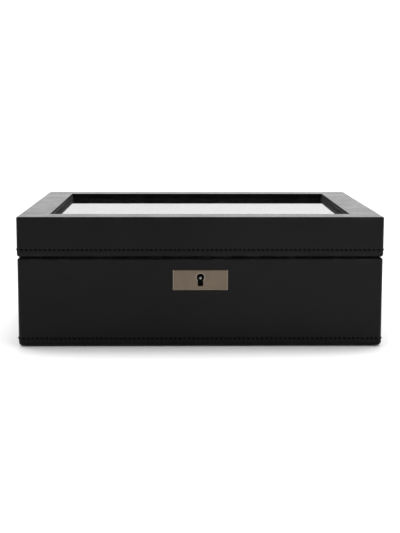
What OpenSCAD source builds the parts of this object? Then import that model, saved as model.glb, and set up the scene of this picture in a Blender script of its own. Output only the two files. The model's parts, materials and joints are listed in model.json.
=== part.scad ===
// Watch box: leather-wrapped boards, a hinged lid with a glass window, a front lock and fifteen watch pillows.
// Millimetres, +Z up. The origin is in the middle of the box, on the surface that it stands on. The front
// faces -Y.

/* [Box] */
// Width of the lid, left to right
box_w = 336; // [330:1:342]
// Depth of the lid, front to back
box_d = 286; // [282:1:292]
// Height of the closed box
box_h = 120.3; // [118:0.1:124]
// Height of the plane where the lid meets the base
parting_z = 82.8; // [82:0.1:83.6]
// Gap between lid and base at that plane
parting_gap = 1; // [0.6:0.1:1.4]
// How far the lid stands out past the base on each side
lid_overhang = 0.3; // [0.1:0.1:0.6]

/* [Boards and leather] */
// Thickness of the wall boards
board_t = 8; // [7.5:0.1:8.5]
// Thickness of the floor board
floor_board_t = 6; // [5:0.5:7]
// Thickness of the leather
leather_t = 1; // [0.9:0.05:1.1]
// How far the leather turns in past the rims of base and lid
turn_in_h = 12; // [10:0.5:13]
// How far the leather turns under the base
turn_under_w = 15; // [10:1:20]
// Thickness of the bottom panel below the leather
bottom_panel_t = 0.8; // [0.6:0.1:1]
// Distance from the base's edge to the bottom panel's edge
bottom_panel_inset = 6; // [5:0.5:8]

/* [Edges] */
// Radius of the base's upright corners
base_corner_r = 3.6; // [3.2:0.1:4]
// Radius of the base's bottom edge
base_bottom_r = 3.2; // [2.4:0.1:3.2]
// Radius of the base's rim
base_top_r = 1.8; // [1.4:0.1:2]
// Radius of the lid's upright corners
lid_corner_r = 3; // [2.8:0.1:3.4]
// Radius of the lid's lower edge
lid_bottom_r = 2.8; // [2.4:0.1:2.8]
// Radius of the lid's top edge
lid_top_r = 1.4; // [1.2:0.1:1.8]

/* [Window] */
// Width of the leather border round the window
window_border = 28.1; // [26:0.1:30]
// Depth from the lid's top to the glass
glass_drop = 5.5; // [5:0.1:6]
// Thickness of the glass
glass_t = 3; // [2:0.5:4]
// How far the glass reaches past the window's edge
glass_lap = 10; // [9:0.5:10]
// Width of the bead round the inside of the window
bead_w = 1; // [0.8:0.1:1.5]
// Depth from the lid's top to the top of the bead
bead_drop = 2; // [1.6:0.1:2.4]
// Thickness of the frame that holds the glass from below
retaining_frame_t = 4; // [3:0.5:5]
// How far that frame shows inside the window's edge
retaining_frame_reveal = 2; // [1:0.5:3]

/* [Compartments] */
// Thickness of the floor pad
floor_pad_t = 3; // [2:0.5:4]
// Thickness of the lining panels
lining_t = 1.8; // [1.4:0.1:2.2]
// Thickness of the dividers
divider_t = 3.6; // [3:0.1:4]
// Height of the dividers' top edge above the floor the box stands on
divider_top_z = 70; // [66:1:70]

/* [Pillows] */
// Length of a pillow, left to right
pillow_len = 52; // [46:1:54]
// Depth of a pillow, front to back
pillow_d = 68; // [62:1:72]
// Height of a pillow
pillow_h = 56; // [50:1:56]

/* [Lock] */
// Width of the lock plate
lock_plate_w = 50.5; // [49:0.5:54]
// Height of the lock plate
lock_plate_h = 18.9; // [17:0.1:19.5]
// Distance from the parting plane down to the lock plate
lock_plate_drop = 11.2; // [10.7:0.1:11.7]
// How far the lock plate stands out from the leather
lock_plate_proud = 0.6; // [0.4:0.1:0.8]
// Radius of the keyhole's round part
keyhole_r = 3.6; // [3.4:0.1:3.7]
// Width of the keyhole's slot
keyhole_slot_w = 5; // [4.6:0.1:5.2]
// Distance from the parting plane down to the middle of the keyhole's round part
keyhole_drop = 18; // [17.7:0.1:18.5]
// Distance from the middle of the keyhole's round part to the bottom of its slot
keyhole_reach = 8.1; // [7.7:0.1:8.4]
// Radius of the post that the key turns on
key_post_r = 1.7; // [1.5:0.05:1.8]
// How far that post sits below the middle of the keyhole's round part
key_post_offset = 1; // [0:0.1:1.1]
// How far the bolt slides
bolt_travel = 3.5; // [3:0.1:3.5]

/* [Hinges] */
// Distance from the box's middle to the middle of each hinge
hinge_x = 100; // [80:1:125]
// Length of each hinge
hinge_len = 30; // [28:1:36]
// Radius of the knuckles
knuckle_r = 2.3; // [2.2:0.1:2.4]
// Radius of the hinge pins
hinge_pin_r = 1; // [0.9:0.05:1.1]
// Distance from the lid's back face forward to the hinge axis
hinge_inset = 1; // [0.8:0.1:1.1]

/* [Hidden] */
$fn = 64;
COLUMNS = [1:5];
ROWS = ["front", "middle", "rear"];

LEATHER = [0.10, 0.10, 0.11];
BOARD = [0.72, 0.58, 0.42];
SUEDE = [0.42, 0.40, 0.38];
PILLOW = [0.50, 0.48, 0.45];
FELT = [0.15, 0.15, 0.16];
GUNMETAL = [0.46, 0.41, 0.36];
STEEL = [0.65, 0.66, 0.68];
BLUED_STEEL = [0.22, 0.22, 0.25];
GLASS = [0.80, 0.88, 0.90, 0.35];
TAPE = [0.25, 0.25, 0.25];

fit_gap = 0.2; // round what is let into leather or board
moving_gap = 0.3; // between pieces that move past each other
running_gap = 0.05; // between a hinge pin and the knuckle that turns on it
seam_gap = 0.2; // between panels that meet in a corner
packing_gap = 0.5; // between the glass and the strips round it
overrun = 5; // how far a cutting block runs past what it cuts

// Levels, from the floor up
skin_bottom_z = bottom_panel_t;
floor_board_z = skin_bottom_z + leather_t;
floor_pad_z = floor_board_z + floor_board_t;
cell_floor_z = floor_pad_z + floor_pad_t;
base_top_z = parting_z - parting_gap / 2;
base_lining_top_z = base_top_z - turn_in_h;
lid_bottom_z = parting_z + parting_gap / 2;
lid_lining_z = lid_bottom_z + turn_in_h;
glass_top_z = box_h - glass_drop;
glass_z = glass_top_z - glass_t;
retaining_frame_z = glass_z - retaining_frame_t;
top_frame_z = glass_top_z + leather_t;

// Half sizes, [x, y]
lid_half = [box_w, box_d] / 2;
base_half = lid_half - [1, 1] * lid_overhang;
lid_inner = lid_half - [1, 1] * (leather_t + board_t);
base_inner = base_half - [1, 1] * (leather_t + board_t);
window_half = lid_half - [1, 1] * window_border;
glass_half = window_half + [1, 1] * glass_lap;
window_hem_w = 6; // how far the leather turns under the window's edge
cell_block = base_inner - [1, 1] * lining_t; // half size of the block of fifteen cells

// Cells
cell_w = (2 * cell_block.x - 4 * divider_t) / 5;
cell_d = (2 * cell_block.y - 2 * divider_t) / 3;
pillow_z = cell_floor_z + moving_gap;
pillow_end_r = pillow_h / 2;

// Hinges
hinge_axis_y = lid_half.y - hinge_inset;
leaf_t = leather_t;
leaf_w = 8; // from the hinge axis to the leaf's front edge
leaf_root = 1.5; // where a leaf runs into its knuckle, measured from the axis
knuckle_len = (hinge_len - 2 * moving_gap) / 3;
knuckle_notch = knuckle_r + 0.4;
hinge_screw_x = 9.5;
hinge_screw_y = 5.2;

// Screws
screw_r = 0.9;
screw_head_r = 1.7;
screw_head_t = 0.8;
screw_len = 8;
screw_slot_w = 0.4;
screw_slot_len = 2.4;

// Lock
plate_low = [-lock_plate_w / 2, parting_z - lock_plate_drop - lock_plate_h]; // [x, z]
plate_high = [lock_plate_w / 2, parting_z - lock_plate_drop];
plate_front_y = -base_half.y - lock_plate_proud;
plate_back_y = -base_half.y + 0.8 * leather_t; // let into the leather, but not through it
plate_top_gap = 0.7; // between the plate's top edge and the leather
plate_prong_x = 23.7;
plate_prong_r = 0.8;
plate_prong_len = 5;
keyhole_z = parting_z - keyhole_drop;
case_wall = 1;
case_low = [-22, -base_inner.y - 6.5, 46];
case_high = [22, -base_inner.y, base_top_z - leaf_t];
cavity_low = [case_low.x + case_wall, case_low.y + case_wall, case_low.z + case_wall];
cavity_high = [case_high.x - case_wall, case_high.y - case_wall, case_high.z];
lock_y = (cavity_low.y + cavity_high.y) / 2;
top_plate_half_w = 29;
top_plate_screw_x = 25.5;
guide_x = 9;
guide_z = 72.2;
guide_r = 1;
eye_x = 10; // the strike plate's two eyes stand at plus and minus this
eye_t = 1.5;
eye_w = 3.6;
eye_len = 7;
eye_hole_w = 2;
eye_slot_gap = 0.4; // round each eye, in the top plate
eye_hole = [lid_bottom_z - 6, lid_bottom_z - 2.8]; // lowest and highest point of the hole
bolt_t = 1.4;
bolt_low = [-18, 69]; // [x, z]
bolt_high = [16, 75.5];
finger_h = 2.4;
finger_gap = 0.4; // from a finger's tip to its eye while unlocked
finger_tip_z = (eye_hole[0] + eye_hole[1]) / 2;
arm_w = 2.5;
arm_gap = 0.35; // from an arm to its eye while locked
key_notch = [5, 2.5]; // width and height
guide_gap = 0.1; // round the guide posts, in the bolt's slots
spring_sag = 1;
spring_half = 8; // half the bow's span
spring_end_x = 7; // where the strip stops
spring_w = 3;
spring_t = 0.3;
strike_half_w = 23;
strike_w = 5.6;
strike_screw_x = 19;

// ---------- shared shapes ----------

module box_between(low, high) {
    translate(low) cube(high - low);
}

// A block from -half to +half in x and y.
module centred_block(half, low_z, high_z) {
    box_between([-half.x, -half.y, low_z], [half.x, half.y, high_z]);
}

// A square ring between two half sizes.
module ring(outer_half, inner_half, low_z, high_z) {
    difference() {
        centred_block(outer_half, low_z, high_z);
        centred_block(inner_half, low_z - overrun, high_z + overrun);
    }
}

// What rounding takes off the lower right corner of a section whose corner is at the origin.
module corner_waste(r) {
    difference() {
        translate([-r, -1]) square([r + 1, r + 1]);
        translate([-r, r]) circle(r);
    }
}

// Right half of a section, standing on y = 0, with its outer corners rounded.
module half_section(half_w, h, top_r, bottom_r) {
    difference() {
        square([half_w, h]);
        translate([half_w, 0]) corner_waste(bottom_r);
        translate([half_w, h]) mirror([0, 1]) corner_waste(top_r);
    }
}

module full_section(half_w, h, top_r, bottom_r) {
    half_section(half_w, h, top_r, bottom_r);
    mirror([1, 0]) half_section(half_w, h, top_r, bottom_r);
}

// A block centred in x and y, standing on z = 0, with rounded upright, top and bottom edges.
module rounded_block(half, h, corner_r, top_r, bottom_r) {
    straight = half - [1, 1] * corner_r;
    rotate([90, 0, 90])
        linear_extrude(2 * straight.x, center = true)
            full_section(half.y, h, top_r, bottom_r);
    rotate([90, 0, 0])
        linear_extrude(2 * straight.y, center = true)
            full_section(half.x, h, top_r, bottom_r);
    for (corner = [[1, 1, 0], [-1, 1, 90], [-1, -1, 180], [1, -1, 270]])
        translate([corner.x * straight.x, corner.y * straight.y, 0])
            rotate([0, 0, corner[2]])
                rotate_extrude(angle = 90)
                    half_section(corner_r, h, top_r, bottom_r);
}

// The base's outside, or the shape lying inset inside it.
module base_block(inset) {
    translate([0, 0, skin_bottom_z + inset])
        rounded_block(base_half - [1, 1] * inset, base_top_z - skin_bottom_z - 2 * inset,
                      base_corner_r - inset, base_top_r - inset, base_bottom_r - inset);
}

// The lid's outside, or the shape lying inset inside it.
module lid_block(inset) {
    translate([0, 0, lid_bottom_z + inset])
        rounded_block(lid_half - [1, 1] * inset, box_h - lid_bottom_z - 2 * inset,
                      lid_corner_r - inset, lid_top_r - inset, lid_bottom_r - inset);
}

// Blocks that pick out one wall: across the box's width in front or behind, or between those on either side.
module cross_wall_zone(inner, side, low_z, high_z) {
    y = [side * inner.y, side * box_d];
    box_between([-box_w, min(y), low_z], [box_w, max(y), high_z]);
}

module end_wall_zone(inner, side, low_z, high_z) {
    x = [side * inner.x, side * box_w];
    box_between([min(x), -inner.y, low_z], [max(x), inner.y, high_z]);
}

// Four panels in a square, from half size outer inwards to half size inner. The two end panels stand between
// the other two, with a seam at each corner.
module four_panels(outer, inner, low_z, high_z) {
    for (side = [-1, 1]) {
        y = [side * outer.y, side * inner.y];
        box_between([-outer.x, min(y), low_z], [outer.x, max(y), high_z]);
        x = [side * outer.x, side * inner.x];
        box_between([min(x), -inner.y + seam_gap, low_z], [max(x), inner.y - seam_gap, high_z]);
    }
}

module lining_panels(outer, low_z, high_z) {
    four_panels(outer, outer - [1, 1] * lining_t, low_z, high_z);
}

// A countersunk wood screw with its head's top at the origin, pointing down.
module screw_body() {
    translate([0, 0, -screw_head_t]) cylinder(r1 = screw_r, r2 = screw_head_r, h = screw_head_t);
    translate([0, 0, -screw_len]) cylinder(r = screw_r, h = screw_len);
}

module screw() {
    difference() {
        screw_body();
        for (turn = [0, 90])
            rotate([0, 0, turn]) cube([screw_slot_len, screw_slot_w, 2 * screw_slot_w], center = true);
    }
}

// ---------- places ----------

module at_hinges() {
    for (side = [-1, 1]) at_hinge(side) children();
}

module at_hinge(side) {
    translate([side * hinge_x, hinge_axis_y, parting_z]) children();
}

// Screw places in the two base leaves. Mirrored in the parting plane they are those of the lid leaves.
module at_base_hinge_screws() {
    at_hinges()
        for (x = [-hinge_screw_x, hinge_screw_x])
            translate([x, -hinge_screw_y, -parting_gap / 2]) children();
}

module at_lid_hinge_screws() {
    at_hinges()
        for (x = [-hinge_screw_x, hinge_screw_x])
            translate([x, -hinge_screw_y, parting_gap / 2]) mirror([0, 0, 1]) children();
}

module at_lock_screws() {
    for (x = [-top_plate_screw_x, top_plate_screw_x]) translate([x, lock_y, base_top_z]) children();
}

module at_strike_screws() {
    for (x = [-strike_screw_x, strike_screw_x])
        translate([x, lock_y, lid_bottom_z]) mirror([0, 0, 1]) children();
}

// ---------- what is cut away for hinges and lock ----------

module hinge_groove() {
    at_hinges()
        rotate([0, 90, 0])
            cylinder(r = knuckle_r + moving_gap, h = hinge_len + 2 * moving_gap, center = true);
}

// Room for the leaves of both hinges, in the leather of both rims.
module leaf_recess() {
    at_hinges()
        box_between([-hinge_len / 2 - fit_gap, -leaf_w - fit_gap, -parting_gap / 2 - leaf_t],
                    [hinge_len / 2 + fit_gap, 0, parting_gap / 2 + leaf_t]);
}

module keyhole_section(grow = 0) {
    circle(keyhole_r + grow);
    translate([-keyhole_slot_w / 2 - grow, -keyhole_reach - grow])
        square([keyhole_slot_w + 2 * grow, keyhole_reach]);
}

// The keyhole, right through from back_y forwards.
module keyhole(back_y, grow = 0) {
    depth = back_y + base_half.y + overrun;
    translate([0, back_y, keyhole_z])
        rotate([90, 0, 0]) linear_extrude(depth) keyhole_section(grow);
}

module lock_pocket() {
    box_between([case_low.x - fit_gap, case_low.y - fit_gap, case_low.z - fit_gap],
                [case_high.x + fit_gap, -base_inner.y + overrun, base_top_z + overrun]);
}

module lock_plate_recess() {
    box_between([plate_low.x - moving_gap, -base_half.y - overrun, plate_low.y - moving_gap],
                [plate_high.x + moving_gap, plate_back_y, plate_high.y + plate_top_gap]);
}

module plate_prongs() {
    for (x = [-plate_prong_x, plate_prong_x])
        translate([x, plate_back_y, (plate_low.y + plate_high.y) / 2])
            rotate([-90, 0, 0]) cylinder(r = plate_prong_r, h = plate_prong_len);
}

// The bar of metal let into the leather of the rim over the lock case.
module top_plate_block(gap = 0) {
    box_between([-top_plate_half_w - gap, case_low.y - moving_gap - gap, base_top_z - leaf_t],
                [top_plate_half_w + gap, case_high.y + gap, base_top_z]);
}

module strike_plate_block(gap = 0) {
    box_between([-strike_half_w - gap, lock_y - strike_w / 2 - gap, lid_bottom_z],
                [strike_half_w + gap, lock_y + strike_w / 2 + gap, lid_bottom_z + leaf_t]);
}

// ---------- base ----------

module base_front_board() {
    color(BOARD) difference() {
        intersection() {
            base_block(leather_t);
            cross_wall_zone(base_inner, -1, 0, parting_z);
        }
        at_lock_screws() screw_body();
        lock_pocket();
        keyhole(case_high.y, fit_gap);
        plate_prongs();
    }
}

module base_back_board() {
    color(BOARD) difference() {
        intersection() {
            base_block(leather_t);
            cross_wall_zone(base_inner, 1, 0, parting_z);
        }
        hinge_groove();
        at_base_hinge_screws() screw_body();
    }
}

module base_end_board(side) {
    color(BOARD) intersection() {
        base_block(leather_t);
        end_wall_zone(base_inner, side, 0, parting_z);
    }
}

module base_floor_board() {
    color(BOARD) centred_block(base_inner, floor_board_z, floor_pad_z);
}

module base_leather() {
    rim = base_inner - [1, 1] * leather_t;
    under = base_half - [1, 1] * turn_under_w;
    color(LEATHER) difference() {
        union() {
            difference() {
                base_block(0);
                base_block(leather_t);
                centred_block(rim, floor_pad_z, box_h);
                centred_block(under, -overrun, floor_pad_z);
            }
            ring(base_inner, rim, base_lining_top_z, base_top_z);
        }
        hinge_groove();
        leaf_recess();
        lock_plate_recess();
        plate_prongs();
        keyhole(case_high.y, fit_gap);
        top_plate_block(fit_gap);
    }
}

module bottom_panel() {
    color(FELT) {
        centred_block(base_half - [1, 1] * bottom_panel_inset, 0, bottom_panel_t);
        centred_block(base_half - [1, 1] * turn_under_w, bottom_panel_t, floor_board_z);
    }
}

module floor_pad() {
    color(SUEDE) centred_block(base_inner, floor_pad_z, cell_floor_z);
}

module base_lining_panels() {
    color(SUEDE) lining_panels(base_inner, cell_floor_z, base_lining_top_z);
}

// ---------- dividers ----------

// Middle of the divider after the given cell, along either direction.
function divider_at(block_half, cell, count) = -block_half + count * cell + (count - 0.5) * divider_t;

// An upright card with a round top edge, along x.
module divider_card(half_len) {
    h = divider_top_z - cell_floor_z - divider_t / 2;
    translate([0, 0, cell_floor_z])
        rotate([90, 0, 90])
            linear_extrude(2 * half_len, center = true)
                union() {
                    translate([-divider_t / 2, 0]) square([divider_t, h]);
                    translate([0, h]) circle(divider_t / 2);
                }
}

half_lap_z = (cell_floor_z + divider_top_z) / 2;

// Runs left to right, with slots from above.
module long_divider(row_gap) {
    y = divider_at(cell_block.y, cell_d, row_gap);
    color(SUEDE) difference() {
        translate([0, y, 0]) divider_card(cell_block.x);
        for (gap = [1:4]) {
            x = divider_at(cell_block.x, cell_w, gap);
            box_between([x - divider_t / 2, y - divider_t, half_lap_z],
                        [x + divider_t / 2, y + divider_t, divider_top_z + overrun]);
        }
    }
}

// Runs front to back, with slots from below.
module short_divider(gap) {
    x = divider_at(cell_block.x, cell_w, gap);
    color(SUEDE) difference() {
        translate([x, 0, 0]) rotate([0, 0, 90]) divider_card(cell_block.y);
        for (row_gap = [1, 2]) {
            y = divider_at(cell_block.y, cell_d, row_gap);
            box_between([x - divider_t, y - divider_t / 2, cell_floor_z - overrun],
                        [x + divider_t, y + divider_t / 2, half_lap_z]);
        }
    }
}

// ---------- pillows ----------

function cell_middle(block_half, cell, index) = -block_half + (index - 0.5) * cell + (index - 1) * divider_t;

module pillow(row, column) {
    flat_half = pillow_d / 2 - pillow_end_r;
    x = cell_middle(cell_block.x, cell_w, column);
    y = cell_middle(cell_block.y, cell_d, row);
    color(PILLOW)
        translate([x, y, pillow_z + pillow_end_r])
            rotate([90, 0, 90])
                linear_extrude(pillow_len, center = true)
                    union() {
                        square([2 * flat_half, pillow_h], center = true);
                        for (side = [-1, 1]) translate([side * flat_half, 0]) circle(pillow_end_r);
                    }
}

// ---------- lock ----------

// Section of a plate lying on y = 0, with its two upper corners bevelled.
module bevelled_section(half, thick, bevel) {
    polygon([[-half, 0], [half, 0], [half, thick - bevel], [half - bevel, thick],
             [-half + bevel, thick], [-half, thick - bevel]]);
}

// The plate on the front, with bevelled edges.
module lock_plate() {
    size = plate_high - plate_low;
    bevel = lock_plate_proud;
    thick = plate_back_y - plate_front_y;
    color(GUNMETAL) difference() {
        union() {
            translate([0, plate_back_y, (plate_low.y + plate_high.y) / 2]) intersection() {
                rotate([180, 0, 0])
                    linear_extrude(size.y, center = true) bevelled_section(size.x / 2, thick, bevel);
                rotate([90, 0, 90])
                    linear_extrude(size.x, center = true) rotate(90) bevelled_section(size.y / 2, thick, bevel);
            }
            plate_prongs();
        }
        keyhole(plate_back_y + overrun);
    }
}

module lock_case() {
    color(BLUED_STEEL) {
        difference() {
            box_between(case_low, case_high);
            box_between(cavity_low, [cavity_high.x, case_high.y + overrun, cavity_high.z + overrun]);
            keyhole(cavity_low.y + case_wall);
        }
        for (x = [-guide_x, guide_x])
            translate([x, cavity_high.y, guide_z])
                rotate([90, 0, 0]) cylinder(r = guide_r, h = cavity_high.y - cavity_low.y);
    }
}

module lock_cap() {
    color(BLUED_STEEL) difference() {
        box_between([cavity_low.x, cavity_high.y, cavity_low.z], [cavity_high.x, case_high.y, cavity_high.z]);
        key_post_shape();
    }
}

// A round post with a domed tip.
module key_post_shape() {
    dome_y = -base_half.y + fit_gap + key_post_r;
    post_z = keyhole_z - key_post_offset;
    translate([0, case_high.y, post_z]) rotate([90, 0, 0]) cylinder(r = key_post_r, h = case_high.y - dome_y);
    translate([0, dome_y, post_z]) sphere(key_post_r);
}

module key_post() {
    color(STEEL) key_post_shape();
}

module lock_top_plate() {
    slot = [eye_t, eye_w] / 2 + [1, 1] * eye_slot_gap;
    color(BLUED_STEEL) difference() {
        top_plate_block();
        for (x = [-eye_x, eye_x])
            translate([x, lock_y, 0]) centred_block(slot, base_top_z - overrun, base_top_z + overrun);
        at_lock_screws() screw_body();
    }
}

// Outline of the bolt seen from the front: a plate with a notch for the key, two guide slots, and two arms
// whose fingers point right, towards the eyes.
module bolt_section() {
    finger_top_z = finger_tip_z + finger_h / 2;
    slot_r = guide_r + guide_gap;
    difference() {
        union() {
            translate(bolt_low) square(bolt_high - bolt_low);
            for (eye = [-eye_x, eye_x]) {
                tip_x = eye - eye_t / 2 - finger_gap;
                arm_x = eye - eye_t / 2 - arm_gap - bolt_travel - arm_w;
                translate([arm_x, bolt_low.y]) square([arm_w, finger_top_z - bolt_low.y]);
                translate([arm_x, finger_top_z - finger_h]) square([tip_x - arm_x, finger_h]);
            }
        }
        translate([-key_notch.x / 2, bolt_low.y - overrun]) square(key_notch + [0, overrun]);
        for (x = [-guide_x, guide_x]) {
            for (end_x = [x - bolt_travel, x]) translate([end_x, guide_z]) circle(slot_r);
            translate([x - bolt_travel, guide_z - slot_r]) square([bolt_travel, 2 * slot_r]);
        }
    }
}

module lock_bolt() {
    color(BLUED_STEEL)
        translate([0, lock_y + bolt_t / 2, 0])
            rotate([90, 0, 0]) linear_extrude(bolt_t) bolt_section();
}

// A bowed strip between cap and bolt. Its ends lie on the cap.
module lock_detent_spring() {
    bow_r = (spring_half * spring_half + spring_sag * spring_sag) / (2 * spring_sag);
    color(BLUED_STEEL) translate([0, cavity_high.y, guide_z]) intersection() {
        translate([0, bow_r - spring_sag, 0]) difference() {
            cylinder(r = bow_r, h = spring_w, center = true);
            cylinder(r = bow_r - spring_t, h = 2 * spring_w, center = true);
        }
        box_between([-spring_end_x, -2 * spring_sag, -spring_w], [spring_end_x, 0, spring_w]);
    }
}

module lock_screws() {
    color(BLUED_STEEL) at_lock_screws() screw();
}

module lock_strike_plate() {
    color(BLUED_STEEL) difference() {
        union() {
            strike_plate_block();
            for (x = [-eye_x, eye_x])
                translate([x, lock_y, 0])
                    centred_block([eye_t, eye_w] / 2, lid_bottom_z - eye_len, lid_bottom_z + leaf_t);
        }
        translate([0, lock_y, 0]) centred_block([strike_half_w, eye_hole_w / 2], eye_hole[0], eye_hole[1]);
        at_strike_screws() screw_body();
    }
}

module strike_screws() {
    color(BLUED_STEEL) at_strike_screws() screw();
}

// ---------- hinges ----------

// A leaf lies below the axis and is seen here as the base's. Its knuckles are at the places given.
module hinge_leaf(knuckles, bore_r) {
    difference() {
        union() {
            box_between([-hinge_len / 2, -leaf_w, -parting_gap / 2 - leaf_t],
                        [hinge_len / 2, -knuckle_notch, -parting_gap / 2]);
            for (x = knuckles) {
                box_between([x - knuckle_len / 2, -knuckle_notch - 1, -parting_gap / 2 - leaf_t],
                            [x + knuckle_len / 2, -leaf_root, -parting_gap / 2]);
                translate([x, 0, 0])
                    rotate([0, 90, 0]) cylinder(r = knuckle_r, h = knuckle_len, center = true);
            }
        }
        rotate([0, 90, 0]) cylinder(r = bore_r, h = 2 * hinge_len, center = true);
    }
}

module base_hinge_leaf(side) {
    pitch = knuckle_len + moving_gap;
    color(GUNMETAL) difference() {
        at_hinge(side) hinge_leaf([-pitch, pitch], hinge_pin_r);
        at_base_hinge_screws() screw_body();
    }
}

module lid_hinge_leaf(side) {
    color(GUNMETAL) difference() {
        at_hinge(side) mirror([0, 0, 1]) hinge_leaf([0], hinge_pin_r + running_gap);
        at_lid_hinge_screws() screw_body();
    }
}

module hinge_pin(side) {
    color(GUNMETAL) at_hinge(side) rotate([0, 90, 0]) cylinder(r = hinge_pin_r, h = hinge_len, center = true);
}

module base_hinge_screws() {
    color(GUNMETAL) at_base_hinge_screws() screw();
}

module lid_hinge_screws() {
    color(GUNMETAL) at_lid_hinge_screws() screw();
}

// ---------- lid ----------

module lid_wall_board(side) {
    color(BOARD) difference() {
        intersection() {
            lid_block(leather_t);
            cross_wall_zone(lid_inner, side, 0, top_frame_z);
        }
        hinge_groove();
        at_lid_hinge_screws() screw_body();
        at_strike_screws() screw_body();
    }
}

module lid_end_board(side) {
    color(BOARD) intersection() {
        lid_block(leather_t);
        end_wall_zone(lid_inner, side, 0, top_frame_z);
    }
}

module lid_top_frame() {
    color(BOARD) difference() {
        intersection() {
            lid_block(leather_t);
            centred_block(lid_half, top_frame_z, box_h);
        }
        centred_block(window_half + [1, 1] * leather_t, 0, box_h + overrun);
    }
}

module lid_leather() {
    rim = lid_inner - [1, 1] * leather_t;
    color(LEATHER) difference() {
        union() {
            difference() {
                lid_block(0);
                lid_block(leather_t);
                centred_block(rim, 0, glass_z);
                centred_block(window_half, glass_z, box_h + overrun);
            }
            ring(lid_inner, rim, lid_bottom_z, lid_lining_z);
            ring(window_half + [1, 1] * leather_t, window_half, glass_top_z, box_h);
            ring(window_half + [1, 1] * window_hem_w, window_half, glass_top_z, top_frame_z);
        }
        hinge_groove();
        leaf_recess();
        strike_plate_block(fit_gap);
    }
}

module window_bead() {
    color(LEATHER) ring(window_half, window_half - [1, 1] * bead_w, glass_top_z, box_h - bead_drop);
}

module glass_pane() {
    color(GLASS) centred_block(glass_half, glass_z, glass_top_z);
}

module glazing_tape() {
    tape_inner = window_half + [1, 1] * (window_hem_w + fit_gap);
    color(TAPE) four_panels(glass_half, tape_inner, glass_top_z, top_frame_z);
}

module glass_packing_strips() {
    color(BOARD) four_panels(lid_inner, glass_half + [1, 1] * packing_gap, glass_z, top_frame_z);
}

module glass_retaining_frame() {
    color(SUEDE) ring(lid_inner, window_half - [1, 1] * retaining_frame_reveal, retaining_frame_z, glass_z);
}

module lid_lining_panels() {
    color(SUEDE) lining_panels(lid_inner, lid_lining_z, retaining_frame_z);
}

// ---------- assembly ----------

base_front_board();
base_back_board();
base_end_board(-1);  // base_left_board
base_end_board(1);  // base_right_board
base_floor_board();
base_leather();
bottom_panel();
floor_pad();
base_lining_panels();
long_divider(1);  // long_divider_front
long_divider(2);  // long_divider_rear
for (gap = [1:4]) short_divider(gap);
lock_plate();
lock_case();
lock_cap();
lock_top_plate();
key_post();
lock_detent_spring();
lock_screws();
base_hinge_leaf(-1);  // base_hinge_leaf_left
base_hinge_leaf(1);  // base_hinge_leaf_right
hinge_pin(-1);  // hinge_pin_left
hinge_pin(1);  // hinge_pin_right
base_hinge_screws();
lock_bolt();
lid_wall_board(-1);  // lid_front_board
lid_wall_board(1);  // lid_back_board
lid_end_board(-1);  // lid_left_board
lid_end_board(1);  // lid_right_board
lid_top_frame();
lid_leather();
window_bead();
glass_pane();
glazing_tape();
glass_packing_strips();
glass_retaining_frame();
lid_lining_panels();
lock_strike_plate();
strike_screws();
lid_hinge_leaf(-1);  // lid_hinge_leaf_left
lid_hinge_leaf(1);  // lid_hinge_leaf_right
lid_hinge_screws();
for (row = [0:2], column = COLUMNS)
    pillow(row + 1, column);
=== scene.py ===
import json
import math

import bmesh
import bpy
import numpy as np
from mathutils import Matrix, Vector, noise


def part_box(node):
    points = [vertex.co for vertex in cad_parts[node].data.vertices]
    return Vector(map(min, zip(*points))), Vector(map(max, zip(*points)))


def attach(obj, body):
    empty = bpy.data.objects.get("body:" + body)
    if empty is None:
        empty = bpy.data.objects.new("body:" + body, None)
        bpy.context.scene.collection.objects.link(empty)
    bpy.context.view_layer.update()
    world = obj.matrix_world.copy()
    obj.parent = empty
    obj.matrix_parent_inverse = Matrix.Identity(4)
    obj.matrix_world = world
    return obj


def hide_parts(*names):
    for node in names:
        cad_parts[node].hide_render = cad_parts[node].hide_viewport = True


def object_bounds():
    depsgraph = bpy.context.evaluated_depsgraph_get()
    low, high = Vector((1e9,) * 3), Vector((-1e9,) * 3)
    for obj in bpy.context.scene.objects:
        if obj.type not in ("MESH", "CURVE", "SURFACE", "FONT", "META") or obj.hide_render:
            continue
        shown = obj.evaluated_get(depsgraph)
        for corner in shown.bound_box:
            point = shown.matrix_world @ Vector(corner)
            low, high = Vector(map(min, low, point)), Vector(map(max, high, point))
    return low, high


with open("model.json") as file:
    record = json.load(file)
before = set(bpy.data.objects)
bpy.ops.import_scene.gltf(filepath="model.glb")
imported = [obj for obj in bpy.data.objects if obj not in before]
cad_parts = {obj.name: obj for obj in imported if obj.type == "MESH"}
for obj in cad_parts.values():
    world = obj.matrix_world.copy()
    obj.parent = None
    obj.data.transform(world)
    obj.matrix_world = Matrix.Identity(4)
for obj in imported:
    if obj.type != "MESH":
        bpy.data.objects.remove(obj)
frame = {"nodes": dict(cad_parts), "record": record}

# The looks of the watch box: leather, stitching, suede, metal, glass and stuffed pillows.
# Everything is in metres, in the CAD frame: the box stands on z = 0 and its front faces -Y.

MM = 0.001
cad_low, cad_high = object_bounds()
scene = bpy.context.scene


# ---------- node helpers ----------

def add_node(tree, kind, inputs=None, **settings):
    """A new node. Each input is a value, or an output that is linked to it."""
    node = tree.nodes.new(kind)
    for name, value in settings.items():
        setattr(node, name, value)
    for name, value in (inputs or {}).items():
        if isinstance(value, bpy.types.NodeSocket):
            tree.links.new(value, node.inputs[name])
        else:
            node.inputs[name].default_value = value
    return node


def calculate(tree, operation, *values):
    node = add_node(tree, "ShaderNodeMath", dict(enumerate(values)), operation=operation)
    return node.outputs[0]


def object_coordinates(tree, stretch=(1, 1, 1)):
    coordinates = add_node(tree, "ShaderNodeTexCoord").outputs["Object"]
    if stretch == (1, 1, 1):
        return coordinates
    scaled = add_node(tree, "ShaderNodeVectorMath", {0: coordinates, 1: stretch}, operation="MULTIPLY")
    return scaled.outputs[0]


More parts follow.
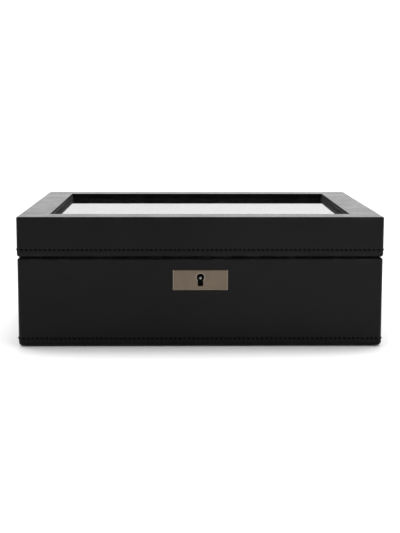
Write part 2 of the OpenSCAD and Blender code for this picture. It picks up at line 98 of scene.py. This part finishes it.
def noise_at(tree, coordinates, scale, detail=3.0, roughness=0.5):
    inputs = {"Vector": coordinates, "Scale": scale, "Detail": detail, "Roughness": roughness}
    return add_node(tree, "ShaderNodeTexNoise", inputs).outputs["Fac"]


def remap(tree, value, low, high, new_low, new_high):
    inputs = {"Value": value, "From Min": low, "From Max": high, "To Min": new_low, "To Max": new_high}
    return add_node(tree, "ShaderNodeMapRange", inputs, interpolation_type="SMOOTHSTEP").outputs["Result"]


def mix_colours(tree, factor, first, second):
    """first where factor is 0, second where it is 1. A colour is three numbers or an output."""
    colours = [c if isinstance(c, bpy.types.NodeSocket) else (*c, 1) for c in (first, second)]
    inputs = {"Factor": factor, 6: colours[0], 7: colours[1]}
    return add_node(tree, "ShaderNodeMix", inputs, data_type="RGBA").outputs[2]


def add_bump(tree, shader, height, depth, strength=1.0):
    """Height is from 0 to 1, and depth is what 1 stands for, in metres."""
    inputs = {"Height": height, "Distance": depth, "Strength": strength}
    bump = add_node(tree, "ShaderNodeBump", inputs)
    earlier = shader.inputs["Normal"].links
    if earlier:
        tree.links.new(earlier[0].from_socket, bump.inputs["Normal"])
    tree.links.new(bump.outputs["Normal"], shader.inputs["Normal"])


def new_material(name, **values):
    """A material and its shader. An underscore in a value's name stands for a space."""
    material = bpy.data.materials.new(name)
    material.use_nodes = True
    shader = material.node_tree.nodes["Principled BSDF"]
    for key, value in values.items():
        shader.inputs[key.replace("_", " ")].default_value = value
    return material, material.node_tree, shader


def link(tree, output, shader, name):
    tree.links.new(output, shader.inputs[name])


# ---------- materials ----------

def edge_nearness(tree, low, high):
    """From 0 inside a face of the block to 1 on its edges, for a point on the block's surface."""
    coordinates = object_coordinates(tree)
    middle = [(a + b) / 2 for a, b in zip(low, high)]
    half = [(b - a) / 2 for a, b in zip(low, high)]
    moved = add_node(tree, "ShaderNodeVectorMath", {0: coordinates, 1: middle}, operation="SUBTRACT")
    apart = add_node(tree, "ShaderNodeVectorMath", {0: moved.outputs[0]}, operation="ABSOLUTE")
    past = add_node(tree, "ShaderNodeVectorMath", {0: apart.outputs[0], 1: half}, operation="SUBTRACT")
    x, y, z = add_node(tree, "ShaderNodeSeparateXYZ", {0: past.outputs[0]}).outputs
    larger = calculate(tree, "MAXIMUM", x, y)
    smaller = calculate(tree, "MINIMUM", x, y)
    second = calculate(tree, "MAXIMUM", smaller, calculate(tree, "MINIMUM", larger, z))
    return remap(tree, second, -4.5 * MM, -0.5 * MM, 0, 1), larger


def matt_zone(tree, low, high, sideways, height, turn_in, rim_on_top):
    """1 where the leather isn't polished: on the rim where lid meets base, and where it has turned in."""
    inside = remap(tree, sideways, -turn_in, 0.5 * MM - turn_in, 1, 0)
    near_top = remap(tree, height, high.z - 0.2 * MM, high.z - 0.1 * MM, 0, 1)
    near_bottom = remap(tree, height, low.z + 0.1 * MM, low.z + 0.2 * MM, 1, 0)
    if rim_on_top:
        return calculate(tree, "MAXIMUM", inside, near_top)
    walls = calculate(tree, "MULTIPLY", inside, calculate(tree, "SUBTRACT", 1, near_top))
    return calculate(tree, "MAXIMUM", walls, near_bottom)


def make_leather(name, node, stitch_z, turn_in=9.5 * MM, rim_on_top=False):
    """Smooth black leather round a block: a fine grain, worn edges and a groove along its stitches."""
    material, tree, shader = new_material(
        name, IOR=1.5, Specular_IOR_Level=0.09, Sheen_Weight=0.04, Sheen_Roughness=0.2)
    coordinates = object_coordinates(tree)
    low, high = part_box(node)
    edges, sideways = edge_nearness(tree, low, high)

    patches = noise_at(tree, coordinates, 9, 4)
    pores = noise_at(tree, coordinates, 420, 2)
    rubbing = remap(tree, noise_at(tree, coordinates, 55, 5), 0.42, 0.66, 0, 1)
    worn = calculate(tree, "MULTIPLY", edges, rubbing)
    cloudy = remap(tree, patches, 0.35, 0.65, 0, 1)
    body = mix_colours(tree, cloudy, (0.0042, 0.0040, 0.0044), (0.0062, 0.0058, 0.0063))
    body = mix_colours(tree, calculate(tree, "MULTIPLY", pores, 0.35), body, (0.003, 0.003, 0.003))
    body = mix_colours(tree, calculate(tree, "MULTIPLY", worn, 0.4), body, (0.018, 0.017, 0.017))
    link(tree, body, shader, "Base Color")

    height = add_node(tree, "ShaderNodeSeparateXYZ", {0: coordinates}).outputs["Z"]
    matt = matt_zone(tree, low, high, sideways, height, turn_in, rim_on_top)
    gloss = remap(tree, noise_at(tree, coordinates, 38, 4), 0.3, 0.7, 0.18, 0.24)
    gloss = calculate(tree, "SUBTRACT", gloss, calculate(tree, "MULTIPLY", worn, 0.05))
    roughness = calculate(tree, "MAXIMUM", gloss, calculate(tree, "MULTIPLY", matt, 0.85))
    link(tree, roughness, shader, "Roughness")

    grain = {"Vector": coordinates, "Scale": 1100}
    cells = add_node(tree, "ShaderNodeTexVoronoi", grain, feature="DISTANCE_TO_EDGE")
    creases = remap(tree, cells.outputs["Distance"], 0.0, 0.25, 0, 1)
    add_bump(tree, shader, creases, 0.035 * MM, 0.6)
    add_bump(tree, shader, noise_at(tree, coordinates, 210, 3), 0.05 * MM, 0.6)
    add_bump(tree, shader, noise_at(tree, coordinates, 12, 2), 0.4 * MM, 0.25)

    off_row = calculate(tree, "ABSOLUTE", calculate(tree, "SUBTRACT", height, stitch_z))
    groove = remap(tree, off_row, 0.3 * MM, 1.3 * MM, 0, 1)
    outside = remap(tree, sideways, -0.9 * MM, -0.7 * MM, 0, 1)
    level = calculate(tree, "MAXIMUM", groove, calculate(tree, "SUBTRACT", 1, outside))
    add_bump(tree, shader, level, 0.05 * MM)
    return material


def make_suede(name, dark, light):
    """Short nap: matt, mottled where it has been brushed, with a soft sheen."""
    material, tree, shader = new_material(
        name, Roughness=0.95, Specular_IOR_Level=0.15, Sheen_Weight=0.22, Sheen_Roughness=0.55)
    shader.inputs["Sheen Tint"].default_value = (0.85, 0.83, 0.8, 1)
    coordinates = object_coordinates(tree)
    brushed = noise_at(tree, object_coordinates(tree, (1, 1, 0.6)), 34, 5, 0.6)
    nap = noise_at(tree, coordinates, 900, 2, 0.6)
    colour = mix_colours(tree, remap(tree, brushed, 0.34, 0.68, 0, 1), dark, light)
    speckle = [0.6 * c for c in dark]
    colour = mix_colours(tree, remap(tree, nap, 0.45, 0.75, 0, 0.6), colour, speckle)
    link(tree, colour, shader, "Base Color")
    add_bump(tree, shader, nap, 0.18 * MM, 0.7)
    add_bump(tree, shader, brushed, 0.25 * MM, 0.4)
    return material


def brushed_metal_nodes(name, colour, low_roughness, high_roughness):
    """Plated metal with fine lines along x, cloudy plating and scratches. Its colour isn't linked yet."""
    material, tree, shader = new_material(name, Metallic=1.0, Anisotropic=0.35)
    lines = noise_at(tree, object_coordinates(tree, (1, 40, 40)), 60, 3, 0.6)
    clouds = noise_at(tree, object_coordinates(tree), 110, 3)
    scratches = noise_at(tree, object_coordinates(tree, (1, 6, 14)), 70, 6, 0.75)
    dull = [0.9 * c for c in colour]
    bright = [1.5 * c for c in colour]
    tinted = mix_colours(tree, remap(tree, clouds, 0.3, 0.7, 0, 1), dull, colour)
    tinted = mix_colours(tree, remap(tree, scratches, 0.66, 0.72, 0, 0.35), tinted, bright)
    link(tree, remap(tree, lines, 0.3, 0.7, low_roughness, high_roughness), shader, "Roughness")
    add_bump(tree, shader, lines, 0.012 * MM, 0.5)
    return material, tree, shader, tinted


def make_brushed_metal(name, colour, low_roughness, high_roughness):
    material, tree, shader, tinted = brushed_metal_nodes(name, colour, low_roughness, high_roughness)
    link(tree, tinted, shader, "Base Color")
    return material


def make_blued_steel():
    """Steel under a black oxide skin, oiled: blotchy, with fine lines along x."""
    material, tree, shader = new_material("blued_steel", IOR=1.5, Specular_IOR_Level=0.1)
    lines = noise_at(tree, object_coordinates(tree, (1, 40, 40)), 60, 3, 0.6)
    blotches = noise_at(tree, object_coordinates(tree), 140, 4)
    blotchy = remap(tree, blotches, 0.35, 0.65, 0, 1)
    colour = mix_colours(tree, blotchy, (0.010, 0.010, 0.013), (0.017, 0.018, 0.023))
    link(tree, colour, shader, "Base Color")
    link(tree, remap(tree, lines, 0.3, 0.7, 0.66, 0.82), shader, "Roughness")
    add_bump(tree, shader, lines, 0.012 * MM, 0.5)
    return material


def make_lock_plate_metal():
    """The plate's gunmetal, with a painted highlight along its side and bottom bevels and round the
    keyhole.
    """
    material, tree, shader, tinted = brushed_metal_nodes("lock_plate_gunmetal", GUNMETAL, 0.30, 0.42)
    low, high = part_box("lock_plate")
    hole_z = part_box("key_post")[1].z + POST_TOP_TO_HOLE
    x, _, z = add_node(tree, "ShaderNodeSeparateXYZ", {0: object_coordinates(tree)}).outputs
    to_side = calculate(tree, "SUBTRACT", high.x, calculate(tree, "ABSOLUTE", x))
    to_bottom = calculate(tree, "SUBTRACT", z, low.z)
    bevel = remap(tree, calculate(tree, "MINIMUM", to_side, to_bottom), 0.5 * MM, 1.0 * MM, 1, 0)
    above_hole = calculate(tree, "SUBTRACT", z, hole_z)
    squares = [calculate(tree, "MULTIPLY", offset, offset) for offset in (x, above_hole)]
    from_hole = calculate(tree, "SQRT", calculate(tree, "ADD", *squares))
    rim = remap(tree, from_hole, KEYHOLE_R + 0.3 * MM, KEYHOLE_R + 0.8 * MM, 1, 0)
    # Painted highlight: the side and bottom bevels and the keyhole's rim are painted a lighter gunmetal,
    # as if they caught the light.
    painted_highlight = calculate(tree, "MULTIPLY", calculate(tree, "MAXIMUM", bevel, rim), 0.75)
    link(tree, mix_colours(tree, painted_highlight, tinted, (0.30, 0.255, 0.205)), shader, "Base Color")
    return material


def make_board():
    """Grey-brown fibreboard: pressed fibres with darker specks."""
    material, tree, shader = new_material("fibreboard", Roughness=0.85)
    fibres = noise_at(tree, object_coordinates(tree, (1, 1, 5)), 260, 5, 0.7)
    specks = noise_at(tree, object_coordinates(tree), 700, 2)
    fibrous = remap(tree, fibres, 0.35, 0.65, 0, 1)
    colour = mix_colours(tree, fibrous, (0.20, 0.125, 0.07), (0.34, 0.23, 0.14))
    colour = mix_colours(tree, remap(tree, specks, 0.6, 0.72, 0, 0.7), colour, (0.10, 0.06, 0.035))
    link(tree, colour, shader, "Base Color")
    add_bump(tree, shader, fibres, 0.1 * MM, 0.6)
    return material


def make_felt():
    """Pressed felt: tangled dark fibres with a little lint."""
    material, tree, shader = new_material("felt", Roughness=1.0, Sheen_Weight=0.3, Sheen_Roughness=0.6)
    tangle = noise_at(tree, object_coordinates(tree), 480, 6, 0.75)
    lint = noise_at(tree, object_coordinates(tree, (1, 3, 1)), 150, 4)
    tangled = remap(tree, tangle, 0.3, 0.7, 0, 1)
    colour = mix_colours(tree, tangled, (0.008, 0.008, 0.009), (0.03, 0.03, 0.032))
    colour = mix_colours(tree, remap(tree, lint, 0.68, 0.74, 0, 0.4), colour, (0.09, 0.09, 0.09))
    link(tree, colour, shader, "Base Color")
    add_bump(tree, shader, tangle, 0.3 * MM, 0.8)
    return material


def make_foam_tape():
    material, tree, shader = new_material("foam_tape", Roughness=0.8)
    bubbles = add_node(tree, "ShaderNodeTexVoronoi", {"Vector": object_coordinates(tree), "Scale": 1500})
    colour = mix_colours(tree, bubbles.outputs["Distance"], (0.006, 0.006, 0.006), (0.022, 0.022, 0.022))
    link(tree, colour, shader, "Base Color")
    add_bump(tree, shader, bubbles.outputs["Distance"], 0.15 * MM, 0.7)
    return material


def make_thread():
    """Waxed black thread, twisted."""
    material, tree, shader = new_material("black_thread", Specular_IOR_Level=0.02)
    inputs = {"Vector": object_coordinates(tree), "Scale": 420, "Distortion": 0.6}
    twist = add_node(tree, "ShaderNodeTexWave", inputs, bands_direction="DIAGONAL").outputs["Fac"]
    colour = mix_colours(tree, twist, (0.0008, 0.0008, 0.0008), (0.002, 0.002, 0.002))
    link(tree, colour, shader, "Base Color")
    link(tree, remap(tree, twist, 0, 1, 0.7, 0.55), shader, "Roughness")
    add_bump(tree, shader, twist, 0.12 * MM, 0.8)
    return material


def make_glass():
    """Clear float glass with faint smears. Lamps and sky shine straight through it."""
    material, tree, shader = new_material("window_glass", Transmission_Weight=1.0, IOR=1.5, Roughness=0.0)
    smears = noise_at(tree, object_coordinates(tree, (1, 2.5, 1)), 11, 5, 0.6)
    smeared = remap(tree, smears, 0.5, 0.75, 0, 1)
    tint = mix_colours(tree, smeared, (0.955, 0.985, 0.975), (0.91, 0.94, 0.93))
    link(tree, tint, shader, "Base Color")
    clear = add_node(tree, "ShaderNodeBsdfTransparent", {"Color": (0.9, 0.94, 0.92, 1)})
    shadow_ray = add_node(tree, "ShaderNodeLightPath").outputs["Is Shadow Ray"]
    choices = {0: shadow_ray, 1: shader.outputs[0], 2: clear.outputs[0]}
    mixed = add_node(tree, "ShaderNodeMixShader", choices)
    tree.links.new(mixed.outputs[0], tree.nodes["Material Output"].inputs["Surface"])
    return material


GUNMETAL = (0.135, 0.107, 0.081)
KEYHOLE_R = 3.6 * MM
POST_TOP_TO_HOLE = -0.7 * MM  # from the top of the key post to the middle of the keyhole's round part
STITCH_RISE = 6.85 * MM  # from the lower edge of the lid's or base's leather up to its stitches
lid_row_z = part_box("lid_leather")[0].z + STITCH_RISE
base_row_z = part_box("base_leather")[0].z + STITCH_RISE

lid_leather = make_leather("lid_black_leather", "lid_leather", lid_row_z)
base_leather = make_leather("base_black_leather", "base_leather", base_row_z, rim_on_top=True)
bead_leather = make_leather("bead_black_leather", "window_bead", lid_row_z, turn_in=0.9 * MM)
lining_suede = make_suede("charcoal_suede", (0.060, 0.057, 0.055), (0.105, 0.100, 0.096))
pillow_suede = make_suede("grey_suede", (0.115, 0.108, 0.102), (0.185, 0.175, 0.165))
piping_suede = make_suede("piping_suede", (0.050, 0.047, 0.045), (0.085, 0.080, 0.077))
gunmetal = make_brushed_metal("gunmetal", GUNMETAL, 0.30, 0.42)
plate_gunmetal = make_lock_plate_metal()
steel = make_brushed_metal("turned_steel", (0.10, 0.10, 0.103), 0.36, 0.46)
# Painted light: the key post gets the turned steel painted about three times lighter, so it looks lit
# deep in the keyhole's shade.
post_steel = make_brushed_metal("key_post_lightened_steel", (0.34, 0.33, 0.32), 0.30, 0.42)
blued_steel = make_blued_steel()
board = make_board()
felt = make_felt()
foam_tape = make_foam_tape()
thread = make_thread()
window_glass = make_glass()

MATERIAL_OF_SLOT = {
    "board": board,
    "suede": lining_suede,
    "pillow_suede": pillow_suede,
    "felt": felt,
    "gunmetal": gunmetal,
    "steel": steel,
    "blued_steel": blued_steel,
    "glass": window_glass,
    "foam_tape": foam_tape,
}


def paint(obj, material):
    if not obj.material_slots:
        obj.data.materials.append(material)
    for material_slot in obj.material_slots:
        material_slot.material = material


def paint_cad_nodes():
    for part in frame["record"]["subparts"]:
        in_lid = part["node"] in frame["record"]["behaviour"]["bodies"]["lid"]
        leather = lid_leather if in_lid else base_leather
        paint(frame["nodes"][part["node"]], MATERIAL_OF_SLOT.get(part["material_slot"], leather))
    paint(frame["nodes"]["lock_plate"], plate_gunmetal)
    paint(frame["nodes"]["window_bead"], bead_leather)
    paint(frame["nodes"]["key_post"], post_steel)


# ---------- mesh helpers ----------

def connect(mesh, first, second):
    """Faces between two closed rings of as many points each."""
    count = len(first)
    for a in range(count):
        b = (a + 1) % count
        mesh.faces.new((first[a], first[b], second[b], second[a]))


def finish_mesh(mesh, name, material):
    """Turns a bmesh into a smooth-shaded object in the scene."""
    bmesh.ops.recalc_face_normals(mesh, faces=mesh.faces)
    data = bpy.data.meshes.new(name)
    mesh.to_mesh(data)
    mesh.free()
    for polygon in data.polygons:
        polygon.use_smooth = True
    data.materials.append(material)
    obj = bpy.data.objects.new(name, data)
    scene.collection.objects.link(obj)
    return obj


# ---------- stitches ----------

def rounded_loop(half_x, half_y, radius):
    """A rectangle with round corners, anticlockwise from the middle of its front left corner.

    Returns an array with a row for each point: the distance along the loop, x, y and the outward normal.
    """
    rows = []
    corners = [(-1, -1, 225), (1, -1, 270), (1, 1, 0), (-1, 1, 90), (-1, -1, 180)]
    for number, (side_x, side_y, start) in enumerate(corners):
        sweep = 90 if 0 < number < 4 else 45
        for step in range(9):
            angle = math.radians(start + sweep * step / 8)
            normal = (math.cos(angle), math.sin(angle))
            x = side_x * (half_x - radius) + radius * normal[0]
            y = side_y * (half_y - radius) + radius * normal[1]
            rows.append((x, y, *normal))
    rows = np.array(rows)
    steps = np.hypot(*np.diff(rows[:, :2], axis=0).T)
    return np.column_stack([np.concatenate([[0], np.cumsum(steps)]), rows])


def loop_place(loop, distance):
    """Point and outward normal at that distance along a rounded loop."""
    distance = distance % loop[-1, 0]
    x, y, normal_x, normal_y = (np.interp(distance, loop[:, 0], loop[:, n]) for n in range(1, 5))
    return Vector((x, y, 0)), Vector((normal_x, normal_y, 0)).normalized()


def stitch_places(half_x, half_y, radius, pitch):
    """Distances along the loop, about a pitch apart, with a stitch in the middle of each corner."""
    places, start = [], 0
    for half in (half_x, half_y, half_x, half_y):
        side = 2 * (half - radius) + math.pi * radius / 2
        count = round(side / pitch)
        places += [start + side * n / count for n in range(count)]
        start += side
    return places


THREAD_R = 0.68 * MM
STITCH_LEN = 3.0 * MM
STITCH_RINGS = 7  # rings of points along one stitch
THREAD_SIDES = 8
STITCH_SLANT = 0.32  # how far a stitch falls to the right, as a share of its length
STITCH_PITCH = 4.22 * MM
LID_CORNER_R = 3.0 * MM  # of the lid's upright corners, as in the CAD
BASE_CORNER_R = 3.6 * MM  # of the base's


def add_stitch(mesh, loop, place, z):
    """One stitch: a bowed piece of thread whose two ends dive into the leather."""
    rings = []
    for t in np.linspace(-1, 1, STITCH_RINGS):
        point, normal = loop_place(loop, place + t * STITCH_LEN / 2)
        bow = math.sqrt(1 - 0.92 * t * t)
        centre = point + normal * (THREAD_R * (1.5 * bow - 1.05))
        centre.z = z - STITCH_SLANT * t * STITCH_LEN / 2
        ring = []
        for corner in range(THREAD_SIDES):
            angle = 2 * math.pi * corner / THREAD_SIDES
            out = THREAD_R * bow * math.cos(angle)
            up = THREAD_R * bow * math.sin(angle)
            ring.append(mesh.verts.new(centre + normal * out + Vector((0, 0, up))))
        rings.append(ring)
    for first, second in zip(rings, rings[1:]):
        connect(mesh, first, second)
    mesh.faces.new(rings[0][::-1])
    mesh.faces.new(rings[-1])


def make_stitch_row(name, node, radius, z, body):
    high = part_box(node)[1]
    loop = rounded_loop(high.x, high.y, radius)
    mesh = bmesh.new()
    for place in stitch_places(high.x, high.y, radius, STITCH_PITCH):
        add_stitch(mesh, loop, place, z)
    row = finish_mesh(mesh, name, thread)
    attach(row, body)


# ---------- pillows ----------

PILLOW_INSET = 2.6 * MM  # how much smaller than its CAD solid a pillow's cover is before it is stuffed
PILLOW_CAP = 2.6 * MM  # how far stuffing may push it out
SEAM_PULL = 1.2 * MM  # how far the end seams lie inside that
AROUND = 48  # points round a pillow
ALONG = 17  # rings of them from seam to seam
CAP_RINGS = 6  # smaller rings on each end panel
STUFFING_FRAMES = 20


def stadium_point(share, half_y, half_z, inset):
    """A point on a stadium lying along y, its ends rounded to its full height. share is from 0 to 1."""
    radius = half_z - inset
    flat = half_y - half_z
    arc = math.pi * radius
    length = 4 * flat + 2 * arc
    distance = (share % 1) * length
    if distance < 2 * flat:
        return Vector((0, -flat + distance, radius))
    distance -= 2 * flat
    if distance < arc:
        angle = math.pi / 2 - distance / radius
        return Vector((0, flat + radius * math.cos(angle), radius * math.sin(angle)))
    distance -= arc
    if distance < 2 * flat:
        return Vector((0, flat - distance, -radius))
    angle = -math.pi / 2 - (distance - 2 * flat) / radius
    return Vector((0, -flat + radius * math.cos(angle), radius * math.sin(angle)))


def pillow_cover(half):
    """The cover before it is stuffed, in one girth panel and two end panels, and its seams' vertices."""
    mesh = bmesh.new()
    end_x = half.x - PILLOW_INSET
    rings = []
    for n in range(ALONG):
        across = -1 + 2 * n / (ALONG - 1)
        inset = PILLOW_INSET + SEAM_PULL * abs(across) ** 6
        place = Vector((across * end_x, 0, 0))
        outline = [stadium_point(k / AROUND, half.y, half.z, inset) for k in range(AROUND)]
        rings.append([mesh.verts.new(point + place) for point in outline])
    seams = rings[0] + rings[-1]
    for end in (rings[0], rings[-1]):
        outer = end
        for n in range(1, CAP_RINGS):
            share = 1 - n / CAP_RINGS
            inner = [mesh.verts.new((v.co.x, v.co.y * share, v.co.z * share)) for v in end]
            connect(mesh, outer, inner)
            outer = inner
        mesh.faces.new(outer)
    for first, second in zip(rings, rings[1:]):
        connect(mesh, first, second)
    mesh.verts.index_update()
    seam_numbers = [v.index for v in seams]
    return finish_mesh(mesh, "stuffing", pillow_suede), seam_numbers


def coordinates_of(data):
    points = np.empty(len(data.vertices) * 3)
    data.vertices.foreach_get("co", points)
    return points.reshape(-1, 3)


def stuff(cover, pinned):
    """Blows the cover up by cloth simulation, with its seams held, and caps how far each point moves."""
    before = coordinates_of(cover.data)
    group = cover.vertex_groups.new(name="seams")
    group.add(pinned, 1.0, "REPLACE")
    cloth = cover.modifiers.new("stuffing", "CLOTH")
    cloth.settings.quality = 6
    cloth.settings.mass = 0.2
    cloth.settings.tension_stiffness = 12
    cloth.settings.compression_stiffness = 12
    cloth.settings.bending_stiffness = 0.25
    cloth.settings.use_pressure = True
    cloth.settings.uniform_pressure_force = 4
    cloth.settings.shrink_min = -0.05
    cloth.settings.vertex_group_mass = "seams"
    cloth.settings.effector_weights.gravity = 0
    cloth.point_cache.frame_end = STUFFING_FRAMES
    for number in range(1, STUFFING_FRAMES + 1):
        scene.frame_set(number)
    stuffed = cover.evaluated_get(bpy.context.evaluated_depsgraph_get())
    moved = coordinates_of(stuffed.data) - before
    cover.modifiers.remove(cloth)
    scene.frame_set(1)
    length = np.linalg.norm(moved, axis=1, keepdims=True)
    moved *= np.minimum(1, PILLOW_CAP / np.maximum(length, 1e-9))
    cover.data.vertices.foreach_set("co", (before + moved).ravel())
    cover.data.update()


def subdivided(obj):
    """The object's mesh after one subdivision."""
    smooth = obj.modifiers.new("smooth", "SUBSURF")
    smooth.levels = 1
    data = bpy.data.meshes.new_from_object(obj.evaluated_get(bpy.context.evaluated_depsgraph_get()))
    obj.modifiers.remove(smooth)
    return data


def tube_round(points, radius, sides=8):
    """A closed tube along a flat loop of points that lies across x."""
    mesh = bmesh.new()
    middle = sum(points, Vector()) / len(points)
    rings = []
    for point in points:
        out = point - middle
        out.x = 0
        out.normalize()
        ring = []
        for side in range(sides):
            angle = 2 * math.pi * side / sides
            offset = out * math.cos(angle) + Vector((math.sin(angle), 0, 0))
            ring.append(mesh.verts.new(point + offset * radius))
        rings.append(ring)
    for first, second in zip(rings, rings[1:] + rings[:1]):
        connect(mesh, first, second)
    return mesh


DENT_DEPTH = 0.55 * MM
PIPING_R = 1.1 * MM
PIPING_OUT = 0.6 * MM  # how far the piping's middle lies outside the seam
PIPING_AROUND = 72  # points round a seam


def piping_mesh(half):
    """Both piped seams of one pillow."""
    both = bpy.data.meshes.new("piping")
    inset = PILLOW_INSET + SEAM_PULL - PIPING_OUT
    mesh = bmesh.new()
    for side in (-1, 1):
        place = Vector((side * (half.x - PILLOW_INSET), 0, 0))
        outline = [stadium_point(k / PIPING_AROUND, half.y, half.z, inset) for k in range(PIPING_AROUND)]
        ring = tube_round([point + place for point in outline], PIPING_R)
        bmesh.ops.recalc_face_normals(ring, faces=ring.faces)
        part = bpy.data.meshes.new("piping_part")
        ring.to_mesh(part)
        ring.free()
        mesh.from_mesh(part)
        bpy.data.meshes.remove(part)
    mesh.to_mesh(both)
    mesh.free()
    for polygon in both.polygons:
        polygon.use_smooth = True
    both.materials.append(piping_suede)
    return both


def make_pillows():
    low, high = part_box("pillow_front_1")
    half = (high - low) / 2
    cover, seams = pillow_cover(half)
    stuff(cover, seams)
    soft = subdivided(cover)
    bpy.data.objects.remove(cover)
    piping = piping_mesh(half)
    names = [name for name in frame["nodes"] if name.startswith("pillow_")]
    for number, name in enumerate(sorted(names)):
        low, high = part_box(name)
        add_pillow(name, soft.copy(), piping, (low + high) / 2, number)


def add_pillow(name, data, piping, centre, number):
    """One pillow, with dents of its own."""
    drift = Vector((7.3 * number, 3.1 * number, 1.7 * number))
    for vertex in data.vertices:
        dent = noise.noise(vertex.co * 45 + drift) + 0.5 * noise.noise(vertex.co * 110 + drift)
        vertex.co -= vertex.normal * (DENT_DEPTH * (dent + 0.6))
    for polygon in data.polygons:
        polygon.use_smooth = True
    pillow = bpy.data.objects.new(name.replace("pillow", "cushion"), data)
    scene.collection.objects.link(pillow)
    pillow.location = centre
    edging = bpy.data.objects.new(pillow.name + "_piping", piping)
    scene.collection.objects.link(edging)
    edging.parent = pillow
    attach(pillow, name)
    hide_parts(name)


# ---------- studio ----------

def make_floor():
    material, tree, shader = new_material("studio_floor", Roughness=0.9, Specular_IOR_Level=0.1)
    shade = noise_at(tree, object_coordinates(tree), 3, 2)
    link(tree, mix_colours(tree, shade, (0.90, 0.90, 0.90), (0.93, 0.93, 0.93)), shader, "Base Color")
    mesh = bmesh.new()
    bmesh.ops.create_grid(mesh, x_segments=1, y_segments=1, size=30)
    floor = finish_mesh(mesh, "floor", material)
    floor.location.z = cad_low.z


def make_sky():
    """Soft light from all round: brightest behind and above, weak in front, a bit more from the right."""
    world = bpy.data.worlds.new("studio")
    scene.world = world
    world.use_nodes = True
    tree = world.node_tree
    background = tree.nodes["Background"]
    direction = add_node(tree, "ShaderNodeTexCoord").outputs["Generated"]
    x, y, z = add_node(tree, "ShaderNodeSeparateXYZ", {0: direction}).outputs
    behind = remap(tree, y, -0.4, 0.6, 0.05, 1.08)
    above = remap(tree, z, 0.09, 0.5, 0.0, 0.6)
    rightward = remap(tree, x, -0.6, 0.6, -0.04, 0.10)
    strength = calculate(tree, "ADD", calculate(tree, "ADD", behind, rightward), above)
    seen = add_node(tree, "ShaderNodeLightPath").outputs["Is Camera Ray"]
    shown = add_node(tree, "ShaderNodeMix", {"Factor": seen, 2: strength, 3: 1.15}).outputs[0]
    tree.links.new(shown, background.inputs["Strength"])
    background.inputs["Color"].default_value = (1, 1, 1, 1)


def make_sun():
    """A broad soft light from high up behind the box. Shadows are short, and nothing mirrors its disc."""
    lamp = bpy.data.lights.new("high_softbox", "SUN")
    lamp.energy = 1.5
    lamp.angle = math.radians(32)
    sun = bpy.data.objects.new("high_softbox", lamp)
    scene.collection.objects.link(sun)
    sun.rotation_euler = (math.radians(-15), 0, 0)
    sun.visible_glossy = False
    sun.visible_transmission = False


def make_floor_light():
    """A soft light over the floor in front, on the right, so the leather mirrors more on that side."""
    lamp = bpy.data.lights.new("floor_softbox", "AREA")
    lamp.shape = "DISK"
    lamp.size = 0.3
    lamp.energy = 2.0
    softbox = bpy.data.objects.new("floor_softbox", lamp)
    scene.collection.objects.link(softbox)
    softbox.location = (0.34, -0.80, 0.45)


def make_camera():
    """A little left of the middle and above the lid, looking down and slightly to the right."""
    place = Vector((-15.73, -1236.54, 231.57)) * MM
    yaw, pitch, roll = (math.radians(angle) for angle in (0.803, 8.155, 0.086))
    forward = Vector((math.sin(yaw) * math.cos(pitch), math.cos(yaw) * math.cos(pitch), -math.sin(pitch)))
    level = Vector((math.cos(yaw), -math.sin(yaw), 0))
    upright = level.cross(forward)
    right = math.cos(roll) * level + math.sin(roll) * upright
    up = math.cos(roll) * upright - math.sin(roll) * level
    lens = bpy.data.cameras.new("camera")
    lens.sensor_width = 36
    lens.lens = 81.54
    camera = bpy.data.objects.new("camera", lens)
    scene.collection.objects.link(camera)
    turn = Matrix((right, up, -forward)).transposed().to_4x4()
    camera.matrix_world = Matrix.Translation(place) @ turn
    scene.camera = camera


paint_cad_nodes()
make_stitch_row("lid_stitches", "lid_leather", LID_CORNER_R, lid_row_z, "lid")
make_stitch_row("base_stitches", "base_leather", BASE_CORNER_R, base_row_z, "base")
make_pillows()
make_floor()
make_sky()
make_sun()
make_floor_light()
make_camera()
scene.view_settings.view_transform = "Standard"
